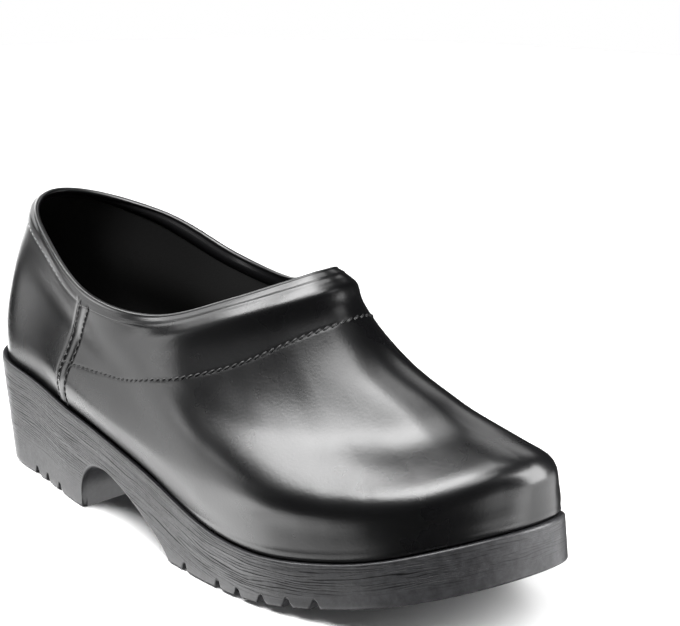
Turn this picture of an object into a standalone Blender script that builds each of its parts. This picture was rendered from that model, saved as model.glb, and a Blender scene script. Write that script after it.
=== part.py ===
"""Closed-back leather work clog, right shoe: moulded sole, insole, upper and collar binding.

Lengths are in millimetres until MM turns them into metres.  +X runs to the toe, -Y is the
lateral (outer) side, +Z is up and z = 0 is the floor.  The distance "along" is counted from
the back of the heel, and "theta" walks round the shoe: 0 at the heel, pi at the toe tip,
positive on the lateral side and negative on the medial side.  An empty carries the pieces
and sets the middle of the shoe over the origin.
"""
import math

import bmesh
import bpy
import numpy as np

MM = 0.001
PART_NAME = "work_clog_right"


class Table:
    """A short table of sizes: named columns, one row for each station or section."""

    def __init__(self, names, rows):
        self.values = dict(zip(names.split(), np.array(rows, float).T))

    def __getitem__(self, name):
        return self.values[name]


# Driving dimensions of the shoe
LENGTH = 285.0            # sole, heel back to toe tip
HEEL_RADIUS = 37.0        # plan radius at the back of the heel
TOE_RADIUS = 28.0         # plan radius at the toe tip
GAP = 0.3                 # clearance between pieces that meet
WALL = 2.2                # leather with its lining
LAP = 1.0                 # vamp edge stands proud of the counter by this
SEAM_SHARE = 0.25         # the vamp's lap seam, as a share of the length

# Plan of the sole's top edge: the centre line moves to the medial side at the toe
OUTLINE = Table("share centre half", [
    (0.00, 0.0, 0.0),
    (0.10, 0.0, 29.5),
    (0.25, 0.0, 37.0),
    (0.45, -2.5, 41.0),
    (0.59, -0.8, 46.5),
    (0.70, 1.6, 48.5),
    (0.81, 5.7, 43.5),
    (0.90, 8.8, 35.2),
    (0.95, 11.5, 26.0),
    (1.00, 15.0, 0.0),
])

# Height of the sole's top edge above the floor
TOP_EDGE = Table("share height", [
    (0.00, 47.0),
    (0.20, 42.5),
    (0.42, 33.8),
    (0.62, 22.0),
    (0.80, 26.0),
    (1.00, 45.0),
])

# How far the sole's bottom edge is set in under its top edge
UNDERCUT = Table("share inset", [
    (0.00, 4.8),
    (0.30, 2.8),
    (0.45, 1.5),
    (0.80, 1.0),
    (1.00, -2.0),
])

# Underside: heel block, arch tunnel and toe spring
ARCH_BACK = 76.5
ARCH_PEAK = 97.0
ARCH_FRONT = 141.0
ARCH_HEIGHT = 22.6
ARCH_BACK_POWER = 2.5     # above 2: a steep heel breast with a round top
ARCH_FRONT_POWER = 1.3    # near 1: a long even slope to the forefoot
SPRING_START = 164.5
SPRING_HEIGHT = 27.0
SPRING_POWER = 2.0

# Lip and tray on the sole's top, which hold the upper and the insole
LIP_WIDTH = 2.5
LIP_BEVEL = 0.8
TRAY_DEPTH = 6.0
BOTTOM_BEVEL = 1.2
SIDE_RIBS = 4             # shallow ribs that follow the top edge
SIDE_RIB_DEPTH = 0.4
SIDE_RIB_REACH = 0.6      # the ribs cover this share of the side, from the top edge down
INSOLE_THICKNESS = 4.0
INSOLE_BEVEL = 1.0
INSOLE_MARGIN = 0.9       # clear of the upper's wall by this

# Collar of the upper, seen from above and from the side
COLLAR_BACK = 17.5
COLLAR_FRONT = 180.0
COLLAR_BACK_RADIUS = 14.8
COLLAR_FRONT_RADIUS = 10.0
COLLAR_TOE_SHIFT = 4.5    # the throat lies this far to the medial side
COLLAR_LEAD = 0.6         # keeps a section of the quarter near upright
COLLAR_PLAN = Table("share half", [
    (0.00, 0.0),
    (0.12, 23.6),
    (0.30, 36.0),
    (0.50, 39.3),
    (0.70, 32.2),
    (0.88, 20.2),
    (1.00, 0.0),
])
COLLAR_RIM = Table("share height", [
    (0.00, 114.6),
    (0.20, 106.3),
    (0.42, 94.3),
    (0.64, 94.2),
    (0.84, 107.0),
    (1.00, 119.3),
])
BINDING_HEIGHT = 3.0
BINDING_SIDE = 0.5        # the binding overhangs the wall by this on each side
BINDING_GAP = 0.5         # the collar's edge twists, so the strip keeps a little more room

# Sections of the last, from heel back to toe tip.  belly_out: how far the wall swells past
# the sole's edge; belly_rise and shoulder_rise: heights above that edge; shoulder_in: how
# far the wall has turned in at the shoulder; vamp_lift and instep_lift: heights above the
# straight line from shoulder to collar, at the shares VAMP_SHARE and INSTEP_SHARE of it.
SECTIONS = Table("share belly_out belly_rise shoulder_in shoulder_rise vamp_lift instep_lift", [
    (0.00, -2.9, 14.5, 6.6, 39.0, 4.0, 4.5),
    (0.15, -0.4, 14.5, 5.4, 35.5, 2.8, 3.0),
    (0.35, 3.0, 14.0, 1.2, 30.5, 1.6, -1.5),
    (0.55, 1.6, 14.0, -1.4, 30.0, 1.0, 1.0),
    (0.70, -0.8, 13.5, 0.0, 25.4, -2.7, -2.8),
    (0.82, -1.3, 11.0, 2.8, 22.8, -6.2, -6.6),
    (0.92, -1.8, 8.5, 7.0, 20.6, -8.6, -10.7),
    (1.00, -2.5, 6.0, 8.0, 20.5, -8.7, -13.2),
])
VAMP_SHARE = 0.40
INSTEP_SHARE = 0.75
MEDIAL_LIFT = 1.0         # the medial shoulder is higher than the lateral one
MEDIAL_FROM = 0.25
MEDIAL_TO = 0.95
CHORD_POWER = 0.6         # under 1: a section's curve bends less sharply at its short chords

# Mesh resolution
STATIONS = 34             # round one side of the shoe, besides the arch's and the seam's own
ARCH_STATIONS = 8
ARCH_LEAD = 0.8           # a station just behind the heel breast keeps the heel flat
SEAM_STEP = 1.2           # stations on both sides of the lap seam
STATION_CLEAR = 0.02      # an even station this close to one of those gives way
UPPER_ROWS = 13
BINDING_STEPS = 6
PAD_STEPS = 20
SHARP_ANGLE = math.radians(35)

# Tread
GROOVE_DEPTH = 3.5
GROOVE_WIDTH = 4.0
NOTCH_WIDTH = 2.6
CUT_BELOW = 4.0           # cutters start this far under the tread
CUT_PAST = 3.0            # and run this far out through the sole's edge
RIB_PITCH = 3.2
RIB_GROOVE = 1.5
RIB_DEPTH = 1.6
RIBS_BACK = 228.0
RIBS_FRONT = 276.0
TREAD_BORDER = 5.0        # plain rim between the toe ribs and the sole's edge
LUG_BACK = 144.0
LUG_FRONT = 225.0
LUG_COLUMN = 16.0         # half the width of the middle column of lugs
LUG_ZIGZAG = 2.2
EDGE_NOTCHES = (152.0, 173.0, 184.5, 197.0, 208.5, 220.0)
CHEVRON_LEAN = 5.0        # a side groove's inner end lies this far ahead of its notch
CHEVRON_BEND = 1 / 3      # share of that lean at the groove's middle
MIDDLE_GROOVES = (162.0, 178.5, 190.5, 203.0, 214.5)
HEEL_PAD_CENTRE = 38.0
HEEL_PAD_LENGTH = 18.0    # half axes of the oval pad
HEEL_PAD_WIDTH = 14.0
HEEL_NOTCHES = (36.5, 47.0, 60.5)
RAY_FAN = 0.75            # the rays' inner ends lie closer together than their notches
RAY_START = 1.5           # and this far out from the pad
HEEL_CROSS = 12.0
HEEL_CROSS_BORDER = 10.0
SHANK_PANEL_BACK = 108.0  # plain sunk panel on the front slope of the arch
SHANK_PANEL_FRONT = 133.0
SHANK_PANEL_WIDTH = 36.0
SHANK_PANEL_DEPTH = 0.8
SHANK_PANEL_STEPS = 5

BLACK_LEATHER = ("black_leather", (0.010, 0.010, 0.011), 0.30)
DARK_SOLE = ("dark_grey_polyurethane", (0.030, 0.030, 0.032), 0.55)
BLACK_LINING = ("black_lining", (0.012, 0.012, 0.012), 0.85)
BINDING_LEATHER = ("binding_leather", (0.014, 0.014, 0.015), 0.38)


def smooth(xs, ys, x):
    """A cubic through the points of a table, with each slope taken from its neighbours."""
    step = np.diff(xs)
    chord = np.diff(ys) / step
    inner = (chord[:-1] * step[1:] + chord[1:] * step[:-1]) / (step[:-1] + step[1:])
    slope = np.concatenate([chord[:1], inner, chord[-1:]])
    x = np.clip(x, xs[0], xs[-1])
    i = np.clip(np.searchsorted(xs, x, side="right") - 1, 0, len(xs) - 2)
    return hermite(ys[i], ys[i + 1], slope[i], slope[i + 1], step[i], (x - xs[i]) / step[i])


def hermite(start, end, slope_start, slope_end, step, u):
    """Cubic from start to end, with the given slopes, at the share u of the step."""
    rise = u * u * (3 - 2 * u)
    return (start * (1 - rise) + end * rise
            + step * (slope_start * u * (1 - u) ** 2 - slope_end * u * u * (1 - u)))


def share_of(theta):
    return (1 - np.cos(theta)) / 2


def side_of(theta):
    """-1 on the lateral side, +1 on the medial side."""
    return -np.sign(np.sin(theta))


def oval_half(table, radius_back, radius_front, length, share):
    """Half width of an outline with round ends, from the table's widths and two end radii."""
    roundness = np.sqrt(4 * table["share"] * (1 - table["share"]))
    full = table["half"][1:-1] / roundness[1:-1]
    full = np.concatenate([[math.sqrt(radius_back * length / 2)], full,
                           [math.sqrt(radius_front * length / 2)]])
    return smooth(table["share"], full, share) * np.sqrt(np.clip(4 * share * (1 - share), 0, None))


def sole_plan(theta):
    """Place of the sole's top edge in plan: distance along and sideways."""
    share = share_of(theta)
    half = oval_half(OUTLINE, HEEL_RADIUS, TOE_RADIUS, LENGTH, share)
    return share * LENGTH, smooth(OUTLINE["share"], OUTLINE["centre"], share) + side_of(theta) * half


def sole_edge(theta, inset):
    """The sole's top edge moved in by a distance, square to itself."""
    small = 1e-4
    ahead = np.array(sole_plan(theta + small))
    behind = np.array(sole_plan(theta - small))
    run, side = ahead - behind
    length = np.hypot(run, side)
    along, across = sole_plan(theta)
    return along - side / length * inset, across + run / length * inset


def top_edge(theta):
    return smooth(TOP_EDGE["share"], TOP_EDGE["height"], share_of(theta))


def underside(along):
    """Height of the tread surface: flat heel, arch tunnel, flat forefoot, toe spring."""
    back = np.clip((ARCH_PEAK - along) / (ARCH_PEAK - ARCH_BACK), 0, 1)
    front = np.clip((along - ARCH_PEAK) / (ARCH_FRONT - ARCH_PEAK), 0, 1)
    arch = np.where(along < ARCH_PEAK,
                    (1 - back ** ARCH_BACK_POWER) ** (1 / ARCH_BACK_POWER),
                    (1 - front ** ARCH_FRONT_POWER) ** (1 / ARCH_FRONT_POWER))
    spring = np.clip((along - SPRING_START) / (LENGTH - SPRING_START), 0, None) ** SPRING_POWER
    return ARCH_HEIGHT * arch + SPRING_HEIGHT * spring


def collar_edge(theta):
    """The top of the bound collar."""
    share = share_of(theta)
    share = share * (1 + COLLAR_LEAD * (1 - share))
    length = COLLAR_FRONT - COLLAR_BACK
    half = oval_half(COLLAR_PLAN, COLLAR_BACK_RADIUS, COLLAR_FRONT_RADIUS, length, share)
    return np.stack([COLLAR_BACK + length * share,
                     COLLAR_TOE_SHIFT * share + side_of(theta) * half,
                     smooth(COLLAR_RIM["share"], COLLAR_RIM["height"], share)], axis=-1)


def section_value(theta, name):
    return smooth(SECTIONS["share"], SECTIONS[name], share_of(theta))


def medial_lift(theta):
    fade = np.clip((share_of(theta) - MEDIAL_FROM) / (MEDIAL_TO - MEDIAL_FROM), 0, 1)
    return np.where(theta < 0, MEDIAL_LIFT * np.sin(math.pi * fade) ** 2, 0)


def point_rows(theta, inset, height):
    along, across = sole_edge(theta, inset)
    return np.stack([along, across, height], axis=-1)


def upper_skin(theta, shares):
    """Outer surface of the last, one ring for each share of the way from lip to collar."""
    lip = top_edge(theta)
    foot = point_rows(theta, LIP_WIDTH + GAP, lip)
    belly = point_rows(theta, -section_value(theta, "belly_out"),
                       lip + section_value(theta, "belly_rise"))
    shoulder = point_rows(theta, section_value(theta, "shoulder_in"),
                          lip + section_value(theta, "shoulder_rise") + medial_lift(theta))
    rim = collar_edge(theta)
    vamp = shoulder + VAMP_SHARE * (rim - shoulder)
    instep = shoulder + INSTEP_SHARE * (rim - shoulder)
    vamp[:, 2] += section_value(theta, "vamp_lift")
    instep[:, 2] += section_value(theta, "instep_lift")
    toward_rim = rim - instep
    toward_rim /= np.linalg.norm(toward_rim, axis=1)[:, None]
    edge = rim - toward_rim * (BINDING_HEIGHT + BINDING_GAP)
    knots = np.array([foot, belly, shoulder, vamp, instep, edge])
    return loft_spline(knots, shares)


def loft_spline(knots, shares):
    """Cubics through the knots of every section, spaced by the length of their chords."""
    chords = np.linalg.norm(np.diff(knots, axis=0), axis=2) ** CHORD_POWER
    spot = np.concatenate([np.zeros((1, chords.shape[1])), np.cumsum(chords, axis=0)])
    spot /= spot[-1]
    step = np.diff(spot, axis=0)[..., None]
    chord = np.diff(knots, axis=0) / step
    inner = (chord[:-1] * step[1:] + chord[1:] * step[:-1]) / (step[:-1] + step[1:])
    first = (3 * chord[:1] - inner[:1]) / 2     # no bend at either end of a section
    last = (3 * chord[-1:] - inner[-1:]) / 2
    slope = np.concatenate([first, inner, last])
    column = np.arange(knots.shape[1])
    rings = []
    for share in shares:
        i = np.clip((spot <= share).sum(axis=0) - 1, 0, len(knots) - 2)
        u = (share - spot[i, column])[:, None] / step[i, column]
        rings.append(hermite(knots[i, column], knots[i + 1, column],
                             slope[i, column], slope[i + 1, column], step[i, column], u))
    return np.array(rings)


def ring_normals(rings):
    """Outward unit normals of a stack of closed rings."""
    around = np.roll(rings, -1, axis=1) - np.roll(rings, 1, axis=1)
    upward = np.gradient(rings, axis=0)
    normal = np.cross(around, upward)
    return normal / np.linalg.norm(normal, axis=2)[..., None]


def stations_round():
    """Values of theta round the shoe, with extra ones at the arch and at the lap seam."""
    even = np.linspace(0, math.pi, STATIONS)
    arch = np.linspace(0, 1, ARCH_STATIONS) ** 2 * (ARCH_PEAK - ARCH_BACK) + ARCH_BACK
    arch = np.concatenate([[ARCH_BACK - ARCH_LEAD], arch, [ARCH_FRONT, SPRING_START]])
    seam = SEAM_SHARE * LENGTH + np.array([-SEAM_STEP, SEAM_STEP])
    extra = np.arccos(1 - 2 * np.concatenate([arch, seam]) / LENGTH)
    clear = [t for t in even if np.abs(extra - t).min() > STATION_CLEAR or t in (0, math.pi)]
    side = np.unique(np.concatenate([clear, extra]))
    return np.concatenate([side, -side[-2:0:-1]])


def to_mesh_object(name, bm, collection, finish):
    """Turn a bmesh in millimetres, with distances along, into an object in metres."""
    bmesh.ops.recalc_face_normals(bm, faces=bm.faces)
    bmesh.ops.scale(bm, vec=(MM, MM, MM), verts=bm.verts)
    mesh = bpy.data.meshes.new(name)
    bm.to_mesh(mesh)
    bm.free()
    mesh.shade_smooth()
    mesh.set_sharp_from_angle(angle=SHARP_ANGLE)
    if finish:
        mesh.materials.append(material(*finish))
    piece = bpy.data.objects.new(name, mesh)
    collection.objects.link(piece)
    return piece


def material(name, colour, roughness):
    finish = bpy.data.materials.new(name)
    finish.use_nodes = True
    shader = finish.node_tree.nodes["Principled BSDF"]
    shader.inputs["Base Color"].default_value = (*colour, 1)
    shader.inputs["Roughness"].default_value = roughness
    shader.inputs["Metallic"].default_value = 0
    finish.diffuse_color = (*colour, 1)
    return finish


def add_loft(bm, rings, closed=False):
    """Bridge a stack of rings with the same number of points; returns their vertices."""
    stack = [[bm.verts.new(point) for point in ring] for ring in rings]
    pairs = list(zip(stack, stack[1:]))
    if closed:
        pairs.append((stack[-1], stack[0]))
    for low, high in pairs:
        count = len(low)
        for i in range(count):
            j = (i + 1) % count
            bm.faces.new((low[i], low[j], high[j], high[i]))
    return stack


def add_ladder(bm, ring):
    """Close a ring with rungs between its lateral and medial points."""
    count = len(ring)
    for i in range(count // 2):
        rung = [ring[i], ring[i + 1], ring[-i - 1], ring[-i]]
        bm.faces.new([v for k, v in enumerate(rung) if v not in rung[:k]])


def sole_rings(theta):
    """Rings of the sole, from the tread's edge up the side, over the lip and into the tray."""
    lip = top_edge(theta)
    undercut = smooth(UNDERCUT["share"], UNDERCUT["inset"], share_of(theta))
    along, _ = sole_edge(theta, undercut)
    floor = underside(along)
    rings = [point_rows(theta, undercut + BOTTOM_BEVEL, floor),
             point_rows(theta, undercut, floor + BOTTOM_BEVEL)]
    low = floor + BOTTOM_BEVEL
    high = lip - LIP_BEVEL
    for rib in range(2 * SIDE_RIBS, 0, -1):
        down = SIDE_RIB_REACH * rib / (2 * SIDE_RIBS)
        inset = undercut * down + SIDE_RIB_DEPTH * (rib % 2)
        rings.append(point_rows(theta, inset, high + (low - high) * down))
    rings.append(point_rows(theta, 0, high))
    rings.append(point_rows(theta, LIP_BEVEL, lip))
    rings.append(point_rows(theta, LIP_WIDTH, lip))
    rings.append(point_rows(theta, LIP_WIDTH, lip - TRAY_DEPTH))
    return rings


def groove_rings(path, width, depth):
    """A groove's prism along a path of (along, across) points, set to the tread's curve."""
    path = np.array(path, float)
    run = np.gradient(path, axis=0)
    run /= np.linalg.norm(run, axis=1)[:, None]
    side = np.stack([-run[:, 1], run[:, 0]], axis=1) * width / 2
    rings = []
    for centre, offset in zip(path, side):
        height = float(underside(centre[0]))
        corners = [(centre + sign * offset, height + lift)
                   for sign, lift in ((-1, -CUT_BELOW), (1, -CUT_BELOW), (1, depth), (-1, depth))]
        rings.append([(*plan, level) for plan, level in corners])
    return rings


def add_groove(bm, path, width=GROOVE_WIDTH, depth=GROOVE_DEPTH):
    stack = add_loft(bm, groove_rings(path, width, depth))
    bm.faces.new(stack[0])
    bm.faces.new(stack[-1])


def half_width_at(along, side):
    """Sideways place of the sole's edge: side is -1 lateral or +1 medial."""
    theta = -side * math.acos(1 - 2 * along / LENGTH)
    return float(sole_plan(np.array(theta))[1])


def centre_at(along):
    return (half_width_at(along, -1) + half_width_at(along, 1)) / 2


def lug_columns(bm):
    """Two zigzag grooves along the forefoot part three columns of lugs."""
    for side in (-1, 1):
        turns = [LUG_BACK, *EDGE_NOTCHES, LUG_FRONT]
        path = [(along, centre_at(along) + side * (LUG_COLUMN + LUG_ZIGZAG * (-1) ** k))
                for k, along in enumerate(turns)]
        add_groove(bm, path)


def lug_rows(bm):
    """Cross grooves: out through the sole's edge at the sides, bent in the middle column."""
    for side in (-1, 1):
        for along in EDGE_NOTCHES:
            inner = centre_at(along) + side * LUG_COLUMN
            edge = half_width_at(along, side)
            add_groove(bm, [(along + CHEVRON_LEAN, inner),
                            (along + CHEVRON_LEAN * CHEVRON_BEND, (inner + edge) / 2),
                            (along, edge + side * CUT_PAST)], NOTCH_WIDTH)
    reach = LUG_COLUMN - LUG_ZIGZAG - GROOVE_WIDTH
    for along in MIDDLE_GROOVES:
        centre = centre_at(along)
        add_groove(bm, [(along, centre - reach), (along + CHEVRON_LEAN / 2, centre),
                        (along, centre + reach)], NOTCH_WIDTH)


def toe_ribs(bm):
    """Even grooves across the toe, short of the edge."""
    for along in np.arange(RIBS_BACK, RIBS_FRONT, RIB_PITCH):
        add_groove(bm, [(along, half_width_at(along, side) - side * TREAD_BORDER)
                        for side in (-1, 1)], RIB_GROOVE, RIB_DEPTH)


def heel_pad(bm):
    """An oval groove round the plain heel pad."""
    turn = np.linspace(0, 2 * math.pi, PAD_STEPS, endpoint=False)
    rings = []
    for grow, lift in ((0, -CUT_BELOW), (GROOVE_WIDTH, -CUT_BELOW),
                       (GROOVE_WIDTH, GROOVE_DEPTH), (0, GROOVE_DEPTH)):
        rings.append(np.stack([HEEL_PAD_CENTRE + (HEEL_PAD_LENGTH + grow) * np.cos(turn),
                               (HEEL_PAD_WIDTH + grow) * np.sin(turn),
                               np.full_like(turn, lift)], axis=1))
    add_loft(bm, rings, closed=True)


def heel_rays(bm):
    """Grooves from the pad out through the heel's edge, and one across the back."""
    for side in (-1, 1):
        for along in HEEL_NOTCHES:
            toward = np.array([(along - HEEL_PAD_CENTRE) * RAY_FAN, side * HEEL_PAD_WIDTH])
            toward /= math.hypot(toward[0] / HEEL_PAD_LENGTH, toward[1] / HEEL_PAD_WIDTH)
            toward *= 1 + RAY_START / HEEL_PAD_WIDTH
            add_groove(bm, [(HEEL_PAD_CENTRE + toward[0], toward[1]),
                            (along, half_width_at(along, side) + side * CUT_PAST)], NOTCH_WIDTH)
    reach = half_width_at(HEEL_CROSS, 1) - HEEL_CROSS_BORDER
    add_groove(bm, [(HEEL_CROSS, -reach), (HEEL_CROSS, reach)], NOTCH_WIDTH)


def shank_panel(bm):
    """A plain sunk panel on the front slope of the arch."""
    spots = np.linspace(SHANK_PANEL_BACK, SHANK_PANEL_FRONT, SHANK_PANEL_STEPS)
    add_groove(bm, [(along, centre_at(along)) for along in spots], SHANK_PANEL_WIDTH, SHANK_PANEL_DEPTH)


def make_sole(theta, parts, cutters):
    bm = bmesh.new()
    stack = add_loft(bm, sole_rings(theta))
    add_ladder(bm, stack[0])
    add_ladder(bm, stack[-1])
    sole = to_mesh_object("sole", bm, parts, DARK_SOLE)
    for pattern in (lug_columns, lug_rows, toe_ribs, heel_pad, heel_rays, shank_panel):
        cut_bm = bmesh.new()
        pattern(cut_bm)
        cutter = to_mesh_object("cut_" + pattern.__name__, cut_bm, cutters, None)
        cutter.hide_render = True
        cutter.display_type = "WIRE"
        cut = sole.modifiers.new(pattern.__name__, "BOOLEAN")
        cut.operation = "DIFFERENCE"
        cut.solver = "EXACT"
        cut.object = cutter


def make_insole(theta, parts):
    """A flat sheet in the tray, inside the upper's wall."""
    floor = top_edge(theta) - TRAY_DEPTH + GAP
    inset = LIP_WIDTH + GAP + WALL + INSOLE_MARGIN
    top = floor + INSOLE_THICKNESS
    bm = bmesh.new()
    stack = add_loft(bm, [point_rows(theta, inset, floor),
                          point_rows(theta, inset, top - INSOLE_BEVEL),
                          point_rows(theta, inset + INSOLE_BEVEL, top)])
    add_ladder(bm, stack[0])
    add_ladder(bm, stack[-1])
    to_mesh_object("insole", bm, parts, BLACK_LINING)


def make_upper(theta, parts):
    """One hollow wall, open at the collar and underneath, thicker ahead of the lap seam."""
    skin = upper_skin(theta, np.linspace(0, 1, UPPER_ROWS))
    normal = ring_normals(skin)
    proud = np.where(share_of(theta) > SEAM_SHARE, LAP, 0)[None, :, None]
    fade = np.ones((UPPER_ROWS, 1, 1))
    fade[[0, -1]] = 0       # skived thin in the lip and under the binding
    outside = skin + normal * proud * fade
    inside = skin - normal * WALL
    drop = np.array([0, 0, TRAY_DEPTH - GAP])
    rings = [skin[0] - drop, *outside, *inside[::-1], inside[0] - drop]
    bm = bmesh.new()
    add_loft(bm, rings, closed=True)
    to_mesh_object("upper", bm, parts, BLACK_LEATHER)
    return outside, inside


def make_binding(outside, inside, parts):
    """A round-topped strip on the collar's edge."""
    out_edge, in_edge = outside[-1], inside[-1]
    across = out_edge - in_edge
    width = np.linalg.norm(across, axis=1)[:, None]
    across /= width
    upward = out_edge - outside[-2]
    upward -= (upward * across).sum(axis=1)[:, None] * across
    upward /= np.linalg.norm(upward, axis=1)[:, None]
    middle = (out_edge + in_edge) / 2 + upward * BINDING_GAP
    half = width / 2 + BINDING_SIDE
    rings = []
    for turn in np.linspace(0, math.pi, BINDING_STEPS):
        rings.append(middle + across * half * math.cos(turn) + upward * BINDING_HEIGHT * math.sin(turn))
    bm = bmesh.new()
    add_loft(bm, rings, closed=True)
    to_mesh_object("collar_binding", bm, parts, BINDING_LEATHER)


def set_over_origin(parts, cutters):
    """Carry everything on an empty, with the middle of the shoe over the origin."""
    spots = np.array([vert.co for piece in parts.objects for vert in piece.data.vertices])
    middle = (spots.min(axis=0) + spots.max(axis=0)) / 2
    carrier = bpy.data.objects.new("shoe_carrier", None)
    carrier.location = (-middle[0], -middle[1], 0)
    for piece in [*parts.objects, *cutters.objects]:
        piece.parent = carrier
    parts.objects.link(carrier)


def main():
    for piece in list(bpy.data.objects):
        bpy.data.objects.remove(piece, do_unlink=True)
    parts = bpy.data.collections.new(PART_NAME)
    cutters = bpy.data.collections.new("cutters")
    for collection in (parts, cutters):
        bpy.context.scene.collection.children.link(collection)
    theta = stations_round()
    make_sole(theta, parts, cutters)
    make_insole(theta, parts)
    outside, inside = make_upper(theta, parts)
    make_binding(outside, inside, parts)
    set_over_origin(parts, cutters)


main()
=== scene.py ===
"""Looks of a closed-back work clog, right shoe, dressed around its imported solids.

Lengths are in millimetres until place() turns them into metres in the frame of the solids.
"along" is counted from the back of the heel, "across" is positive on the medial side, and
"theta" walks round the shoe: 0 at the heel, pi at the toe tip, positive on the lateral side.
A "share" of the length runs from 0 at the heel to 1 at the toe tip.
"""
import math

import bpy
import numpy as np
from mathutils import Matrix, Vector


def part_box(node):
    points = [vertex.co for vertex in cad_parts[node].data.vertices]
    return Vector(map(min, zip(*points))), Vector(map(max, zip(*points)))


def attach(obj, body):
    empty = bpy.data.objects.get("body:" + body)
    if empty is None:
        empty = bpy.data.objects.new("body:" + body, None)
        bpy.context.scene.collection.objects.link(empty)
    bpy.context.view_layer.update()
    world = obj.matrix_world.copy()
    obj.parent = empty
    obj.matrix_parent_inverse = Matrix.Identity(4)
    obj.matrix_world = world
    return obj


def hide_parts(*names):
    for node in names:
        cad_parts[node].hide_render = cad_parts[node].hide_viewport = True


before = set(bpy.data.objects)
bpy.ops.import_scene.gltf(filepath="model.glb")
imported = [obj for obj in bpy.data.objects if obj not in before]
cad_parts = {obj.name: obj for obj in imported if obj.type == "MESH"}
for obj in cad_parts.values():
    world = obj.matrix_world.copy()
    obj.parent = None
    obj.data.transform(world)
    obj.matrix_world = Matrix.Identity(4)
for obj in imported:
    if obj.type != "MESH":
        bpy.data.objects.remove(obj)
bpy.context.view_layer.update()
MM = 0.001


class Table:
    """A short table of sizes: named columns, one row for each station or section."""

    def __init__(self, names, rows):
        self.values = dict(zip(names.split(), np.array(rows, float).T))

    def __getitem__(self, name):
        return self.values[name]

    def at(self, where, name):
        """A column's value between the rows, by the first column."""
        return smooth(next(iter(self.values.values())), self.values[name], where)


# Shape of the last and the sole, the same sizes as the solids have
LENGTH = 285.0
HEEL_RADIUS = 37.0
TOE_RADIUS = 28.0
GAP = 0.3
WALL = 2.2
SEAM_SHARE = 0.25
OUTLINE = Table("share centre half", [
    (0.00, 0.0, 0.0),
    (0.10, 0.0, 29.5),
    (0.25, 0.0, 37.0),
    (0.45, -2.5, 41.0),
    (0.59, -0.8, 46.5),
    (0.70, 1.6, 48.5),
    (0.81, 5.7, 43.5),
    (0.90, 8.8, 35.2),
    (0.95, 11.5, 26.0),
    (1.00, 15.0, 0.0),
])
TOP_EDGE = Table("share height", [
    (0.00, 47.0),
    (0.20, 42.5),
    (0.42, 33.8),
    (0.62, 22.0),
    (0.80, 26.0),
    (1.00, 45.0),
])
UNDERCUT = Table("share inset", [
    (0.00, 4.8),
    (0.30, 2.8),
    (0.45, 1.5),
    (0.80, 1.0),
    (1.00, -2.0),
])
ARCH_BACK = 76.5
ARCH_PEAK = 97.0
ARCH_FRONT = 141.0
ARCH_HEIGHT = 22.6
ARCH_BACK_POWER = 2.5
ARCH_FRONT_POWER = 1.3
SPRING_START = 164.5
SPRING_HEIGHT = 27.0
SPRING_POWER = 2.0
LIP_WIDTH = 2.5
LIP_FALL = Table("share drop", [      # the lip slopes down to the leather, most round the heel
    (0.00, 1.0),
    (0.30, 0.9),
    (0.55, 0.5),
    (1.00, 0.3),
])
TRAY_DEPTH = 6.0
INSOLE_THICKNESS = 4.0
INSOLE_MARGIN = 0.9
COLLAR_BACK = 17.5
COLLAR_FRONT = 180.0
COLLAR_BACK_RADIUS = 14.8
COLLAR_FRONT_RADIUS = 10.0
COLLAR_TOE_SHIFT = 4.5
COLLAR_LEAD = 0.6
COLLAR_PLAN = Table("share half", [
    (0.00, 0.0),
    (0.12, 23.6),
    (0.30, 36.0),
    (0.50, 39.3),
    (0.70, 32.2),
    (0.88, 20.2),
    (1.00, 0.0),
])
COLLAR_RIM = Table("share height", [
    (0.00, 114.6),
    (0.20, 106.3),
    (0.42, 94.3),
    (0.64, 94.2),
    (0.84, 107.0),
    (1.00, 119.3),
])
BINDING_HEIGHT = 3.0
BINDING_GAP = 0.5
SECTIONS = Table("share belly_out belly_rise shoulder_in shoulder_rise vamp_lift instep_lift", [
    (0.00, -2.9, 14.5, 6.6, 39.0, 4.0, 4.5),
    (0.15, -0.4, 14.5, 5.4, 35.5, 2.8, 3.0),
    (0.35, 3.0, 14.0, 1.2, 30.5, 1.6, -1.5),
    (0.55, 1.6, 14.0, -1.4, 30.0, 1.0, 1.0),
    (0.70, -0.8, 13.5, 0.0, 25.4, -2.7, -2.8),
    (0.82, -1.3, 11.0, 2.8, 22.8, -6.2, -6.6),
    (0.92, -1.8, 8.5, 7.0, 20.6, -8.6, -10.7),
    (1.00, -2.5, 6.0, 8.0, 20.5, -8.7, -13.2),
])
VAMP_SHARE = 0.40
INSTEP_SHARE = 0.75
MEDIAL_LIFT = 1.0
MEDIAL_FROM = 0.25
MEDIAL_TO = 0.95
CHORD_POWER = 0.6

# Seams and sewing of the upper
SEAM_THETA = math.acos(1 - 2 * SEAM_SHARE)
# How far the seam leans from the solid's straight one, in theta, from the lip up to the collar
SEAM_LEAN = Table("rise theta", [
    (0.00, -0.080),
    (0.20, -0.050),
    (0.40, -0.022),
    (0.62, -0.003),
    (0.85, 0.032),
    (1.00, 0.055),
])
SKIVED_LAP = 0.5           # the lap's edge is pared thin where it shows
LAP_ROUND = 0.35           # half the width over which that edge falls
LAP_PRESS = (0.2, -0.7, 0.5)   # the counter is pressed in behind it: depth, distance, width
SEAM_ROWS = (1.3, 7.0)     # two rows of stitches ahead of the lap's edge
SEAM_PUFF = 0.45           # the leather swells between the rows
PUFF_WIDTH = 1.6
FURROW_DEPTH = 0.28        # a stitch row pulls the leather in
FURROW_WIDTH = 0.55
YOKE_FURROW = 0.10
LIP_HOLD = 3.5             # the leather keeps to the last this near the lip
COLLAR_HOLD = 2.5          # and its sewing this near the collar
STITCH_PITCH = 3.2
STITCH_LENGTH = 2.8
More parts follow.
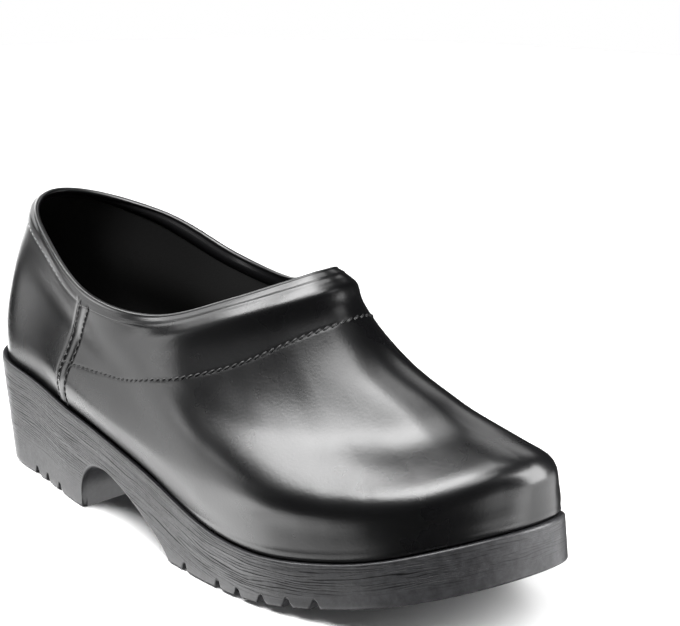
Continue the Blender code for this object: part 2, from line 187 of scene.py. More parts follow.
STITCH_RISE = 0.33         # a stitch's crown over the leather
STITCH_AIM = 0.5           # how far before and after its place the row's way is taken
THREAD = 0.90
STITCH_SINK = 0.45         # the binding's own row is drawn into its leather
STITCH_MARGIN = 0.9        # from the binding's lower edge
SLANT = math.radians(22)   # a lock stitch lies a little across its row
# The yoke's stitch row, as a share of the way from lip to collar
YOKE = Table("share rise", [
    (0.25, 0.365),
    (0.32, 0.446),
    (0.40, 0.530),
    (0.47, 0.612),
    (0.58, 0.700),
    (0.71, 0.768),
    (0.86, 0.835),
    (1.00, 0.868),
])

# Collar binding: its outer leg is broad on the counter and narrow towards the throat, where
# the bead at its folded edge grows thinner and leans in over the foot
BINDING = Table("share width thick bead lean", [
    (0.00, 4.4, 0.35, 1.15, 0.0),
    (0.23, 4.2, 0.35, 1.15, 0.0),
    (0.30, 2.2, 0.30, 1.10, 0.1),
    (0.45, 1.2, 0.15, 0.95, 0.6),
    (0.62, 0.6, 0.03, 0.75, 1.1),
    (1.00, 0.6, 0.03, 0.65, 1.2),
])
# Outer leg from its pared edge upwards, in shares of its width and of its thickness
OUTER_LEG = ((1.0, 0.0), (0.93, 0.5), (0.85, 0.85), (0.75, 1.0), (0.4, 1.0), (0.1, 1.0))
INNER_LEG = 3.0
STRIP_SINK = 0.3           # both edges of the strip end in the leather
FOLD_START = 0.97          # where the fold leaves the legs, as a share of its half width there
BEAD_WAIST = 0.8           # half width and depth of the neck under the bead, in radii of the bead
BEAD_NECK = 1.9
BEAD_ARC = (-35, 215)      # degrees of the bead's round, from outside to inside

# Soft forms of the leather: height of a ridge or, below zero, of a dip, its distance from the
# line that it follows, and its width on either side
TOE_RIDGE = (1.9, -2.8, 4.4, 5.1)        # edge of the toe puff, from the shoulder of the last
TOE_BANK = (1.2, -2.0, 4.4, 8.0)         # that edge is higher at the tip of the toe
TOE_TROUGH = (-2.0, 28.0, 10.0, 15.0)    # dip in the top of the toe, behind that edge
VAMP_HOLLOW = (-1.0, 42.0, 15.0, 15.0)   # shallow hollow of the vamp, behind the toe puff
RIM_ROLL = (1.8, 5.5, 3.6, 3.6)          # padded roll, down from the front of the collar
FOOT_ROLL = (0.9, 1.5, 0.6)              # bulge over the lip, as wide on both sides
# Where they begin, in shares of the length, and how near the collar they end
RIDGE_START = (0.60, 0.85)
RIM_START = (0.40, 0.70)
FOOT_START = (0.35, 0.60)
COLLAR_FADE = (-2.0, 7.0)
# Where bank, dip and hollow begin and end, in theta past the toe's tip
TROUGH_START = (-1.00, -0.40)
TROUGH_END = (-0.05, 0.40)
HOLLOW_START = (-1.50, -1.15)
HOLLOW_END = (-0.75, -0.35)

# Mesh density
STATIONS = 280             # round one side of the shoe, besides the seam's own
SEAM_STATIONS = 100
SEAM_SPAN = 0.15
LOW_ROWS = 34
YOKE_ROWS = 10
HIGH_ROWS = 40
YOKE_ROW = LOW_ROWS + YOKE_ROWS // 2
YOKE_SPAN = 1.6            # half the band of close rows at the yoke's stitches
STRIP_ROW = -5             # a row of the upper under the binding's stitches
SECTION_SAMPLES = 40
PLAN_SAMPLES = 2000
SHOULDER_BLUR = 7          # stations on either side that smooth the shoulder's line
LINING_STEP = 5
BEAD_POINTS = 15
ARC_STEPS = 7              # along a stitch
THREAD_SIDES = 8
SIDE_ROWS = 34
BOTTOM_STEPS = 5
LIP_STEPS = 4
SOLE_STATIONS = 440
BREAST_STATIONS = 30       # more of them where the heel breast rises steeply
BREAST_SPAN = (-0.5, 5.0)
TREAD_COLUMNS = 110
PAD_POINTS = 40
INSOLE_STATIONS = 90
INSOLE_STEPS = 5
INSOLE_SHARES = (0.85, 0.7, 0.5, 0.3, 0.12)   # rings of its top, in shares of its half width
SWEEP_SIDES = 64
TINY = 1e-6

# Edges of the sole and lines in its side
BOTTOM_ROUND = 1.6
LIP_ROUND = 0.8
LIP_BOW = (0.45, 1 / 6)    # the lip's slope is bowed: a share of its width and of its fall there
NOTCH_RISE = 0.1           # keeps the rows apart over a notch
GRAIN_START = (0.15, 0.45)   # shares of the way up over which the lines begin
GRAIN_END = (0.88, 0.97)   # shares of the length over which they fade at the toe
GRAIN_LOSS = 0.7
GRAIN_RELIEF = 0.22
GRAIN_RIM = 0.1            # share of the height below the lip where the relief fades
# Noise of the lines: height of a cell, cells in one turn round the sole, seed
COARSE_LINES = (1.9, 17, 3)
FINE_LINES = (0.95, 27, 4)
FINE_SHARE = 0.5
START_NOISE = (9.0, 22, 5)
START_WANDER = 0.25
NOISE_ROWS = 64

# Tread
GROOVE_DEPTH = 3.5
GROOVE_WIDTH = 4.0
NOTCH_WIDTH = 2.6
CUT_PAST = 3.0             # a notch runs on past the edge
SHARP_ANGLE = math.radians(60)
GROOVE_WALL = 1.5          # a groove's drafted wall, seen from below
RIB_PITCH = 3.2
RIB_GROOVE = 1.5
RIB_DEPTH = 1.6
RIBS_BACK = 228.0
RIBS_FRONT = 276.0
TREAD_BORDER = 5.0
LUG_BACK = 144.0
LUG_FRONT = 225.0
LUG_COLUMN = 16.0          # half the width of the middle column of lugs
LUG_ZIGZAG = 2.2
EDGE_NOTCHES = (152.0, 173.0, 184.5, 197.0, 208.5, 220.0)
CHEVRON_LEAN = 5.0
MIDDLE_GROOVES = (162.0, 178.5, 190.5, 203.0, 214.5)
HEEL_PAD_CENTRE = 38.0
HEEL_PAD_LENGTH = 18.0
HEEL_PAD_WIDTH = 14.0
HEEL_NOTCHES = (36.5, 47.0, 60.5)
RAY_LEAN = 0.75            # a ray leaves the pad nearer its middle than it meets the edge
HEEL_CROSS = 12.0
CROSS_BORDER = 10.0
SHANK_BACK = 104.0         # a sunk bare panel under the shank
SHANK_FRONT = 130.0
SHANK_HALF = 17.0
SHANK_DEPTH = 1.2
STIPPLE_FADE = 2.0
STIPPLE_PAD = (1.0, 1.05)  # round the heel pad, in shares of its size

# Insole
INSOLE_ROUND = 1.2
HEEL_HOLLOW = (1.2, 40.0, 30.0)   # depth, middle and width of the hollow under the heel

# Camera, from the photograph
IMAGE_WIDTH = 680
FOCAL_PIXELS = 3014.2
CAMERA_AZIMUTH = math.radians(47.12)
CAMERA_ELEVATION = math.radians(19.17)
CAMERA_ROLL = math.radians(0.31)
CAMERA_DISTANCE = 1122.2
CAMERA_TARGET = (47.9, -1.0, 105.0)
SENSOR = 36.0

# The floor's half width and the paper sweep round it: radius and height of its rings, in metres
FLOOR_REACH = 6.0
SWEEP = ((0.8, 0.001), (1.2, 0.01), (1.7, 0.06), (2.3, 0.25), (2.9, 0.80), (3.2, 1.60), (3.3, 3.50))

# Softboxes: the place on the shoe each faces (counted from the heel), the way to it (degrees;
# azimuth 0 is the toe's, -90 the lateral side's), its distance, width and height in metres and its
# radiance. Those under the floor stand for what the paper throws back.
AIM_HEIGHT = 60.0
SOFTBOXES = {
    "overhead_key": (142, -112, 63, 2.0, 0.68, 0.95, 20.0),
    "overhead_left": (142, -147, 61, 2.0, 0.42, 0.70, 9.5),
    "overhead_rim": (142, -144, 46, 2.0, 0.75, 0.30, 20.0),
    "overhead_right": (142, -67, 62, 2.0, 0.90, 0.75, 9.5),
    "throat_front": (142, -2, 42, 2.0, 0.90, 0.50, 2.2),
    "overhead_top": (142, 180, 82, 2.0, 1.10, 0.75, 6.0),
    "toe_side": (275, 34, 24, 0.09, 0.075, 0.09, 13.0),
    "rear": (142, 118, 42, 2.0, 0.80, 0.70, 2.5),
    "heel_side": (142, 180, 30, 2.0, 1.25, 1.25, 3.0),
    "heel_bounce": (142, 160, -10, 2.0, 0.90, 1.60, 5.0),
    "heel_floor": (142, -152, -33, 2.0, 2.20, 0.60, 2.6),
    "lateral_panel": (142, -140, -30, 2.0, 1.30, 3.40, 2.8),
    "welt_bounce": (142, -108, -42, 2.0, 0.70, 0.80, 2.8),
    "lateral_patch": (142, -131, 14, 2.0, 0.40, 0.35, 6.0),
    "toe_bounce": (142, 40, -25, 2.0, 3.20, 1.60, 3.0),
    "front_bounce": (142, -5, -22, 2.0, 1.40, 1.00, 2.2),
}


def smooth(xs, ys, x):
    """A cubic through the points of a table, with each slope taken from its neighbours."""
    step = np.diff(xs)
    chord = np.diff(ys) / step
    inner = (chord[:-1] * step[1:] + chord[1:] * step[:-1]) / (step[:-1] + step[1:])
    slope = np.concatenate([chord[:1], inner, chord[-1:]])
    x = np.clip(x, xs[0], xs[-1])
    i = np.clip(np.searchsorted(xs, x, side="right") - 1, 0, len(xs) - 2)
    return hermite(ys[i], ys[i + 1], slope[i], slope[i + 1], step[i], (x - xs[i]) / step[i])


def hermite(start, end, slope_start, slope_end, step, u):
    rise = u * u * (3 - 2 * u)
    return (start * (1 - rise) + end * rise
            + step * (slope_start * u * (1 - u) ** 2 - slope_end * u * u * (1 - u)))


def ease(low, high, x):
    """0 below low, 1 above high and a soft step between them."""
    u = np.clip((x - low) / (high - low), 0, 1)
    return u * u * (3 - 2 * u)


def bell(x, middle, width):
    return np.exp(-((x - middle) / width) ** 2 / 2)


def share_of(theta):
    return (1 - np.cos(theta)) / 2


def side_of(theta):
    return -np.sign(np.sin(theta))


def oval_half(table, radius_back, radius_front, length, share):
    roundness = np.sqrt(4 * table["share"] * (1 - table["share"]))
    full = table["half"][1:-1] / roundness[1:-1]
    full = np.concatenate([[math.sqrt(radius_back * length / 2)], full,
                           [math.sqrt(radius_front * length / 2)]])
    return smooth(table["share"], full, share) * np.sqrt(np.clip(4 * share * (1 - share), 0, None))


def sole_plan(theta):
    share = share_of(theta)
    half = oval_half(OUTLINE, HEEL_RADIUS, TOE_RADIUS, LENGTH, share)
    return share * LENGTH, OUTLINE.at(share, "centre") + side_of(theta) * half


def sole_edge(theta, inset):
    """The sole's top edge moved in by a distance, square to itself."""
    small = 1e-4
    ahead = np.array(sole_plan(theta + small))
    behind = np.array(sole_plan(theta - small))
    run, side = ahead - behind
    length = np.hypot(run, side)
    along, across = sole_plan(theta)
    return along - side / length * inset, across + run / length * inset


def top_edge(theta):
    return TOP_EDGE.at(share_of(theta), "height")


def underside(along):
    """Height of the tread surface: flat heel, arch tunnel, flat forefoot, toe spring."""
    back = np.clip((ARCH_PEAK - along) / (ARCH_PEAK - ARCH_BACK), 0, 1)
    front = np.clip((along - ARCH_PEAK) / (ARCH_FRONT - ARCH_PEAK), 0, 1)
    arch = np.where(along < ARCH_PEAK,
                    (1 - back ** ARCH_BACK_POWER) ** (1 / ARCH_BACK_POWER),
                    (1 - front ** ARCH_FRONT_POWER) ** (1 / ARCH_FRONT_POWER))
    return ARCH_HEIGHT * arch + toe_spring(along)


def toe_spring(along):
    past = np.clip((along - SPRING_START) / (LENGTH - SPRING_START), 0, None)
    return SPRING_HEIGHT * past ** SPRING_POWER


def collar_edge(theta):
    share = share_of(theta)
    share = share * (1 + COLLAR_LEAD * (1 - share))
    length = COLLAR_FRONT - COLLAR_BACK
    half = oval_half(COLLAR_PLAN, COLLAR_BACK_RADIUS, COLLAR_FRONT_RADIUS, length, share)
    return np.stack([COLLAR_BACK + length * share,
                     COLLAR_TOE_SHIFT * share + side_of(theta) * half,
                     COLLAR_RIM.at(share, "height")], axis=-1)


def section_value(theta, name):
    return SECTIONS.at(share_of(theta), name)


def medial_lift(theta):
    fade = np.clip((share_of(theta) - MEDIAL_FROM) / (MEDIAL_TO - MEDIAL_FROM), 0, 1)
    return np.where(theta < 0, MEDIAL_LIFT * np.sin(math.pi * fade) ** 2, 0)


def point_rows(theta, inset, height):
    along, across = sole_edge(theta, inset)
    return np.stack([along, across, height + 0 * along], axis=-1)


def upper_skin(theta, shares):
    """Outer surface of the last; shares has one row of values for each ring."""
    lip = top_edge(theta)
    foot = point_rows(theta, LIP_WIDTH + GAP, lip)
    belly = point_rows(theta, -section_value(theta, "belly_out"),
                       lip + section_value(theta, "belly_rise"))
    shoulder = point_rows(theta, section_value(theta, "shoulder_in"),
                          lip + section_value(theta, "shoulder_rise") + medial_lift(theta))
    rim = collar_edge(theta)
    vamp = shoulder + VAMP_SHARE * (rim - shoulder)
    instep = shoulder + INSTEP_SHARE * (rim - shoulder)
    vamp[:, 2] += section_value(theta, "vamp_lift")
    instep[:, 2] += section_value(theta, "instep_lift")
    toward_rim = rim - instep
    toward_rim /= np.linalg.norm(toward_rim, axis=1)[:, None]
    edge = rim - toward_rim * (BINDING_HEIGHT + BINDING_GAP)
    return loft_spline(np.array([foot, belly, shoulder, vamp, instep, edge]), shares)


def loft_spline(knots, shares):
    """Cubics through the knots of every section, spaced by the length of their chords."""
    chords = np.linalg.norm(np.diff(knots, axis=0), axis=2) ** CHORD_POWER
    spot = np.concatenate([np.zeros((1, chords.shape[1])), np.cumsum(chords, axis=0)])
    spot /= spot[-1]
    step = np.diff(spot, axis=0)[..., None]
    chord = np.diff(knots, axis=0) / step
    inner = (chord[:-1] * step[1:] + chord[1:] * step[:-1]) / (step[:-1] + step[1:])
    first = (3 * chord[:1] - inner[:1]) / 2
    last = (3 * chord[-1:] - inner[-1:]) / 2
    slope = np.concatenate([first, inner, last])
    column = np.arange(knots.shape[1])
    rings = []
    for share in shares:
        i = np.clip((spot <= share).sum(axis=0) - 1, 0, len(knots) - 2)
        u = (share - spot[i, column])[:, None] / step[i, column]
        rings.append(hermite(knots[i, column], knots[i + 1, column],
                             slope[i, column], slope[i + 1, column], step[i, column], u))
    return np.array(rings)


def unit(vectors):
    return vectors / np.linalg.norm(vectors, axis=-1)[..., None]


def ring_normals(rings):
    """Outward unit normals of a stack of closed rings."""
    around = np.roll(rings, -1, axis=1) - np.roll(rings, 1, axis=1)
    upward = np.gradient(rings, axis=0)
    return unit(np.cross(around, upward))


def both_sides(side):
    """Stations of one side, from heel to toe, followed by those back along the other side."""
    return np.concatenate([side, -side[-2:0:-1]])


SIDE_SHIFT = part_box("sole")[0].y / MM - sole_plan(np.linspace(0, math.pi, PLAN_SAMPLES))[1].min()
HEEL_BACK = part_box("sole")[0].x / MM


def place(points):
    """Millimetres counted from the heel, to metres in the frame of the solids."""
    return (np.asarray(points, float) + (HEEL_BACK, SIDE_SHIFT, 0)) * MM


def add_object(name, data):
    made = bpy.data.objects.new(name, data)
    bpy.context.scene.collection.objects.link(made)
    return made


def add_piece(mesh):
    """A smooth mesh as a piece that rides on the shoe's body."""
    mesh.shade_smooth()
    piece = add_object(mesh.name, mesh)
    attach(piece, "root")
    return piece


def mesh_piece(name, points, faces, materials):
    mesh = bpy.data.meshes.new(name)
    mesh.from_pydata(place(points).tolist(), [], faces)
    mesh.update()
    for finish in materials:
        mesh.materials.append(finish)
    return add_piece(mesh)


def loft_faces(rings, count, closed):
    """Quads between rings of points numbered ring by ring."""
    first = np.arange(rings if closed else rings - 1)[:, None] * count
    above = (first + count) % (rings * count)
    here = np.arange(count)[None, :]
    ahead = (here + 1) % count
    quads = np.stack([first + here, first + ahead, above + ahead, above + here], axis=-1)
    return quads.reshape(-1, 4).tolist()


def ladder_faces(start, count):
    """Faces across a ring of points, from each station to the one opposite."""
    faces = []
    for i in range(count // 2):
        rung = [start + k % count for k in (i, i + 1, count - i - 1, count - i)]
        faces.append(list(dict.fromkeys(rung)))
    return faces


def linear(code):
    """sRGB hex to a linear colour."""
    parts = [int(code[i:i + 2], 16) / 255 for i in (1, 3, 5)]
    return (*[p / 12.92 if p <= 0.04045 else ((p + 0.055) / 1.055) ** 2.4 for p in parts], 1)


def set_inputs(node, inputs):
    """Values and links of a node's inputs; another node stands for its first output."""
    for key, value in inputs.items():
        if isinstance(value, bpy.types.Node):
            value = value.outputs[0]
        if isinstance(value, bpy.types.NodeSocket):
            node.id_data.links.new(value, node.inputs[key])
        else:
            node.inputs[key].default_value = value


def add_node(tree, kind, inputs=None, **settings):
    """A node with its settings, values and links."""
    made = tree.nodes.new(kind)
    for name, value in settings.items():
        setattr(made, name, value)
    set_inputs(made, inputs or {})
    return made


def new_material(name, inputs):
    """A Principled material with constants on its own sockets, and its shader."""
    finish = bpy.data.materials.new(name)
    finish.use_nodes = True
    shader = finish.node_tree.nodes["Principled BSDF"]
    set_inputs(shader, inputs)
    return finish, shader


def grained_material(name, inputs, grain_size, detail, strength, height):
    """A finish of one colour with a fine grain in relief."""
    finish, shader = new_material(name, inputs)
    tree = finish.node_tree
    spot = add_node(tree, "ShaderNodeTexCoord").outputs["Object"]
    grain = add_node(tree, "ShaderNodeTexNoise", {
        "Vector": spot, "Scale": 1 / (grain_size * MM), "Detail": detail})
    bump = add_node(tree, "ShaderNodeBump", {
        "Height": grain, "Strength": strength, "Distance": height * MM})
    set_inputs(shader, {"Normal": bump})
    return finish


def black_leather():
    """Smooth full-grain leather, dyed through and wax-polished: near black, with broad clear
    reflections that a faint grain breaks up."""
    patch_size = 22.0          # over which the hide's thickness and polish change
    patch_height = 0.12
    grain_size = 1.1           # coarser than the real 0.3, which would not show
    grain_height = 0.05
    finish, shader = new_material("polished_black_leather", {
        "Base Color": linear("#060607"), "IOR": 1.5})
    tree = finish.node_tree
    spot = add_node(tree, "ShaderNodeTexCoord").outputs["Object"]
    patches = add_node(tree, "ShaderNodeTexNoise", {
        "Vector": spot, "Scale": 1 / (patch_size * MM), "Detail": 3.0})
    roughness = add_node(tree, "ShaderNodeMapRange", {
        "Value": patches, "From Min": 0.3, "From Max": 0.7, "To Min": 0.26, "To Max": 0.31})
    uneven = add_node(tree, "ShaderNodeBump", {
        "Height": patches, "Strength": 1.0, "Distance": patch_height * MM})
    grain = add_node(tree, "ShaderNodeTexNoise", {
        "Vector": spot, "Scale": 1 / (grain_size * MM), "Detail": 2.0})
    bump = add_node(tree, "ShaderNodeBump", {
        "Height": grain, "Strength": 0.55, "Distance": grain_height * MM, "Normal": uneven})
    set_inputs(shader, {"Roughness": roughness, "Normal": bump})
    return finish


def binding_leather():
    """Thin split leather folded over the collar: a little duller than the upper."""
    grain_size = 0.9           # coarser than the real 0.3, which would not show
    surface = {"Base Color": linear("#0f0f10"), "Roughness": 0.29, "IOR": 1.5}
    return grained_material("satin_binding_leather", surface, grain_size,
                            detail=3.0, strength=0.2, height=0.1)


def lining_cloth():
    """Brushed textile lining: matte black, with a fine nap."""
    tuft = 0.6                 # of the nap, because single fibres would not show
    surface = {"Base Color": linear("#050505"), "Roughness": 0.9, "Specular IOR Level": 0.2}
    return grained_material("brushed_black_lining", surface, tuft, detail=2.0, strength=0.4, height=0.2)


def sewing_thread():
    """Waxed and twisted polyester thread: black, its twist catching the light."""
    ply = 0.25
    surface = {"Base Color": linear("#0e0e0f"), "Roughness": 0.5}
    return grained_material("waxed_black_thread", surface, ply, detail=2.0, strength=0.5, height=0.1)


def sawn_lines(tree, spot):
    """The wood-like lines of the sole's side: 0 in a line, 1 beside it and where there are none.

    Sockets 2 and 3 of a Mix node are its numbers, 6 and 7 its colours."""
    line_pitch = 1.15
    wander_length = 34.0       # along the side, over which a line strays
    wander_depth = 6.25        # down the side, over which its neighbours stray with it
    wander_reach = 4.0         # pitches that it strays
    break_length = 17.0        # along and down the side, over which a line is broken
    break_depth = 10 / 9
    down = add_node(tree, "ShaderNodeAttribute", attribute_name="grain_down").outputs["Fac"]
    amount = add_node(tree, "ShaderNodeAttribute", attribute_name="grain_amount").outputs["Fac"]
    plan = add_node(tree, "ShaderNodeSeparateXYZ", {0: spot}).outputs
    on_side = add_node(tree, "ShaderNodeCombineXYZ", {"X": plan["X"], "Y": plan["Y"], "Z": down})
    along = 1 / (wander_length * MM)
    wander_at = add_node(tree, "ShaderNodeVectorMath", {
        0: on_side, 1: (along, along, 1 / wander_depth)}, operation="MULTIPLY")
    wander = add_node(tree, "ShaderNodeTexNoise", {"Vector": wander_at, "Scale": 1.0, "Detail": 2.0})
    even = add_node(tree, "ShaderNodeMath", {0: down, 1: line_pitch}, operation="DIVIDE")
    lines_at = add_node(tree, "ShaderNodeMath", {
        0: wander, 1: wander_reach, 2: even}, operation="MULTIPLY_ADD")
    wave = add_node(tree, "ShaderNodeMath", {0: lines_at, 1: 0.5}, operation="PINGPONG")
    along = 1 / (break_length * MM)
    breaks_at = add_node(tree, "ShaderNodeVectorMath", {
        0: on_side, 1: (along, along, 1 / break_depth)}, operation="MULTIPLY")
    breaks = add_node(tree, "ShaderNodeTexNoise", {"Vector": breaks_at, "Scale": 1.0, "Detail": 3.0})
    width = add_node(tree, "ShaderNodeMapRange", {
        "Value": breaks, "From Min": 0.35, "From Max": 0.6, "To Min": 0.34, "To Max": 0.04})
    cut = add_node(tree, "ShaderNodeMapRange", {
        "Value": wave, "From Min": 0.0, "From Max": width}, interpolation_type="SMOOTHSTEP")
    return add_node(tree, "ShaderNodeMix", {0: amount, 2: 1.0, 3: cut})


def sole_polyurethane():
    """Foamed polyurethane with a moulded skin: dark grey satin, its side marked with fine cut lines
    like sawn wood, painted near black as painted shade in the cuts over their real low relief, its tread
    stippled."""
    mottle_size = 3.0
    skin_size = 1.1            # coarser than the mould's real 0.3, which would not show
    skin_height = 0.1
    line_depth = 0.15
    finish, shader = new_material("moulded_dark_polyurethane", {"IOR": 1.48})
    tree = finish.node_tree
    spot = add_node(tree, "ShaderNodeTexCoord").outputs["Object"]
    level = sawn_lines(tree, spot)
    # The cut lines are painted near black against the lighter skin beside them: painted shade in the
    # cuts.
    colour = add_node(tree, "ShaderNodeMix", {
        0: level, 6: linear("#0a0a0b"), 7: linear("#29292b")}, data_type="RGBA").outputs[2]
    cloud = add_node(tree, "ShaderNodeTexNoise", {
        "Vector": spot, "Scale": 1 / (mottle_size * MM), "Detail": 4.0, "Roughness": 0.7})
    mottle = add_node(tree, "ShaderNodeMapRange", {
        "Value": cloud, "From Min": 0.35, "From Max": 0.65, "To Min": 0.55, "To Max": 1.2})
    # Random mottle of the moulding, laid over the painted shade of the lines.
    mottled_with_line_shade = add_node(tree, "ShaderNodeVectorMath", {0: colour, "Scale": mottle}, operation="SCALE")
    gloss = add_node(tree, "ShaderNodeMapRange", {"Value": level, "To Min": 0.1, "To Max": 0.5})
    skin = add_node(tree, "ShaderNodeTexNoise", {
        "Vector": spot, "Scale": 1 / (skin_size * MM), "Detail": 3.0})
    roughness = add_node(tree, "ShaderNodeMapRange", {"Value": skin, "To Min": 0.34, "To Max": 0.50})
    stippled = add_node(tree, "ShaderNodeAttribute", attribute_name="tread_stipple").outputs["Fac"]
    relief = add_node(tree, "ShaderNodeMapRange", {"Value": stippled, "To Min": 0.12, "To Max": 1.0})
    fine = add_node(tree, "ShaderNodeBump", {
        "Height": skin, "Strength": relief, "Distance": skin_height * MM})
    bump = add_node(tree, "ShaderNodeBump", {
        "Height": level, "Strength": 1.0, "Distance": line_depth * MM, "Normal": fine})
    set_inputs(shader, {"Base Color": mottled_with_line_shade, "Specular IOR Level": gloss, "Roughness": roughness,
                        "Normal": bump})
    return finish


def upper_stations():
    """Theta round the upper, close together at the lap seam."""
    even = np.linspace(0, math.pi, STATIONS)
    even = even[np.abs(even - SEAM_THETA) > SEAM_SPAN]
    close = np.linspace(SEAM_THETA - SEAM_SPAN, SEAM_THETA + SEAM_SPAN, SEAM_STATIONS)
    return both_sides(np.sort(np.concatenate([even, close])))


def upper_shares(theta):
    """Rows from lip to collar, close together along the yoke's stitches."""
    yoke = YOKE.at(share_of(theta), "rise")
    sampled = upper_skin(theta, np.linspace(0, 1, SECTION_SAMPLES))
    span = YOKE_SPAN / np.linalg.norm(np.diff(sampled, axis=0), axis=2).sum(axis=0)
    low = np.linspace(0, 1, LOW_ROWS, endpoint=False)[:, None] * (yoke - span)
    close = yoke - span + 2 * span * np.linspace(0, 1, YOKE_ROWS, endpoint=False)[:, None]
    high = yoke + span + (1 - yoke - span) * np.linspace(0, 1, HIGH_ROWS)[:, None]
    return np.concatenate([low, close, high])


def binding_value(theta, name):
    return BINDING.at(share_of(theta), name)


class Upper:
    """The upper's outer surface with its sewing, and distances on it in millimetres."""

    def __init__(self):
        self.theta = upper_stations()
        self.skin = upper_skin(self.theta, upper_shares(self.theta))
        self.normal = ring_normals(self.skin)
        steps = np.linalg.norm(np.diff(self.skin, axis=0), axis=2)
        self.climb = np.concatenate([np.zeros((1, len(self.theta))), np.cumsum(steps, axis=0)])
        self.below_collar = self.climb[-1] - self.climb
        self.above_yoke = self.climb - self.climb[YOKE_ROW]
        self.past_seam = self.seam_distance()
        self.past_shoulder = self.climb - self.shoulder_climb()
        self.outside = self.skin + self.normal * self.relief()[..., None]
        self.outward = ring_normals(self.outside)
        lining = self.skin - self.normal * WALL   # some rings down from the collar, and the lowest
        self.inside = np.concatenate([lining[::-LINING_STEP], lining[:1]])

    def seam_distance(self):
        """Distance ahead of the lap's edge, on either side of the shoe."""
        turn = np.abs(self.theta)
        stride = np.linalg.norm(np.roll(self.skin, -1, axis=1) - np.roll(self.skin, 1, axis=1), axis=2)
        stride = stride / np.maximum(np.abs(np.roll(turn, -1) - np.roll(turn, 1)), TINY)
        lean = SEAM_LEAN.at(self.climb / self.climb[-1], "theta")
        return (turn - SEAM_THETA - lean) * stride

    def shoulder_climb(self):
        """Distance from the lip up to the shoulder of each section."""
        shoulder = point_rows(self.theta, section_value(self.theta, "shoulder_in"),
                              top_edge(self.theta) + section_value(self.theta, "shoulder_rise"))
        row = np.linalg.norm(self.skin - shoulder, axis=2).argmin(axis=0)
        rough = self.climb[row, np.arange(len(row))]
        window = 2 * SHOULDER_BLUR + 1
        rough = np.concatenate([rough[-SHOULDER_BLUR:], rough, rough[:SHOULDER_BLUR]])
        return np.convolve(rough, np.ones(window) / window, mode="valid")

    def relief(self):
        """How far the leather stands out from the last."""
        held = ease(0, LIP_HOLD, self.climb)
        sewn = self.sewn_relief() * held * ease(0, COLLAR_HOLD, self.below_collar)
        soft = self.soft_relief() * held * ease(*COLLAR_FADE, self.below_collar)
        height, middle, width = FOOT_ROLL
        roll = ease(*FOOT_START, share_of(self.theta)) * height * bell(self.climb, middle, width)
        return sewn + soft + roll

    def sewn_relief(self):
        """The vamp's lap over the counter, and furrows under the rows of stitches."""
        seam = self.past_seam
        on_vamp = ease(-LAP_ROUND, LAP_ROUND, seam)
        depth, distance, width = LAP_PRESS
        relief = SKIVED_LAP * on_vamp - depth * bell(seam, distance, width)
        for row in SEAM_ROWS:
            relief -= FURROW_DEPTH * bell(seam, row, FURROW_WIDTH)
        relief += SEAM_PUFF * bell(seam, sum(SEAM_ROWS) / 2, PUFF_WIDTH)
        past_row = ease(SEAM_ROWS[0], SEAM_ROWS[0] + 1, seam)
        relief -= YOKE_FURROW * bell(self.above_yoke, 0, FURROW_WIDTH) * past_row
        strip_edge = self.below_collar - binding_value(self.theta, "width")
        return relief - YOKE_FURROW * bell(strip_edge, FURROW_WIDTH, FURROW_WIDTH) * (1 - on_vamp)

    def soft_relief(self):
        """Ridges, dips and rolls of the leather."""
        share = share_of(self.theta)
        past_tip = self.theta % (2 * math.pi) - math.pi
        basin = ease(*TROUGH_START, past_tip) * (1 - ease(*TROUGH_END, past_tip))
        hollow = ease(*HOLLOW_START, past_tip) * (1 - ease(*HOLLOW_END, past_tip))
        relief = np.zeros(self.climb.shape)
        for fade, distance, (height, middle, before, after) in (
                (ease(*RIDGE_START, share), self.past_shoulder, TOE_RIDGE),
                (basin, self.past_shoulder, TOE_BANK),
                (basin, self.past_shoulder, TOE_TROUGH),
                (hollow, self.past_shoulder, VAMP_HOLLOW),
                (ease(*RIM_START, share), self.below_collar, RIM_ROLL)):
            width = np.where(distance < middle, before, after)
            relief += fade * height * bell(distance, middle, width)
        return relief

    def surface_below(self, distance, lift):
        """Points a distance below the collar's edge, lifted off the leather."""
        points = np.empty_like(self.skin[-1])
        for i in range(len(points)):
            lifted = self.outside[::-1, i] + lift[i] * self.normal[::-1, i]
            for axis in range(3):
                points[i, axis] = np.interp(distance[i], self.below_collar[::-1, i], lifted[:, axis])
        return points

    def seam_row(self, side, distance):
        """Path and outward directions up the lap seam, a distance ahead of the lap's edge."""
        near = np.nonzero((np.abs(np.abs(self.theta) - SEAM_THETA) < 2 * SEAM_SPAN)
                          & (np.sign(self.theta) == side))[0]
        near = near[np.argsort(np.abs(self.theta[near]))]
        path, outward = [[[np.interp(distance, seam[near], row[near, axis]) for axis in range(3)]
                          for seam, row in zip(self.past_seam, surface)]
                         for surface in (self.outside, self.outward)]
        return np.array(path), np.array(outward)

    def yoke_row(self):
        """Path and outward directions of the row that runs round the vamp from seam to seam."""
        ahead = self.past_seam[YOKE_ROW] > SEAM_ROWS[0]
        return self.outside[YOKE_ROW, ahead], self.outward[YOKE_ROW, ahead]

    def counter_row(self):
        """Path and outward directions of the row that holds the binding to the counter."""
        order = np.argsort(self.theta)
        order = order[np.abs(self.theta[order]) < SEAM_THETA - SEAM_SPAN / 2]
        path = self.surface_below(binding_value(self.theta, "width") - STITCH_MARGIN,
                                  binding_value(self.theta, "thick") - STITCH_SINK)
        return path[order], self.outward[STRIP_ROW, order]


